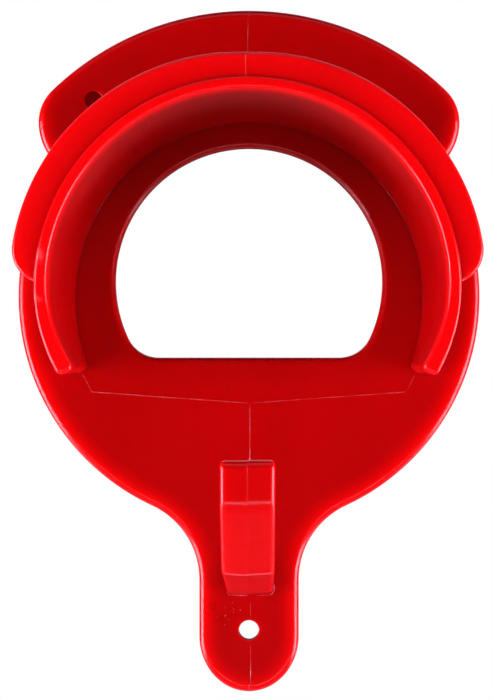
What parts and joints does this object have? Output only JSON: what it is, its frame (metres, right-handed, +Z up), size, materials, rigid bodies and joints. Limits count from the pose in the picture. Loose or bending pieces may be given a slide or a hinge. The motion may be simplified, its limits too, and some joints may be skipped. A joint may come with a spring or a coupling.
{
  "type": "bridle rack",
  "caption": "Wall-mounted moulded bridle rack: flat plate with a D-shaped opening, arched saddle with a front flange, upturned rein hook and screw holes.",
  "frame": {"origin": "centre of the lower screw hole, on the rear face that lies against the wall", "axes": "+Z up, +X to the right of someone who faces the rack, -Y out of the wall, the way the saddle and the hook stand out"},
  "size_m": [0.169, 0.0868, 0.2495],
  "materials": {
    "moulded_plastic": "glossy, through-coloured red"
  },
  "bodies": {
    "root": {"wall_plate": "moulded_plastic", "saddle_arch": "moulded_plastic", "retaining_flange": "moulded_plastic", "hook_arm": "moulded_plastic", "hook_tongue": "moulded_plastic"}
  },
  "joints": []
}
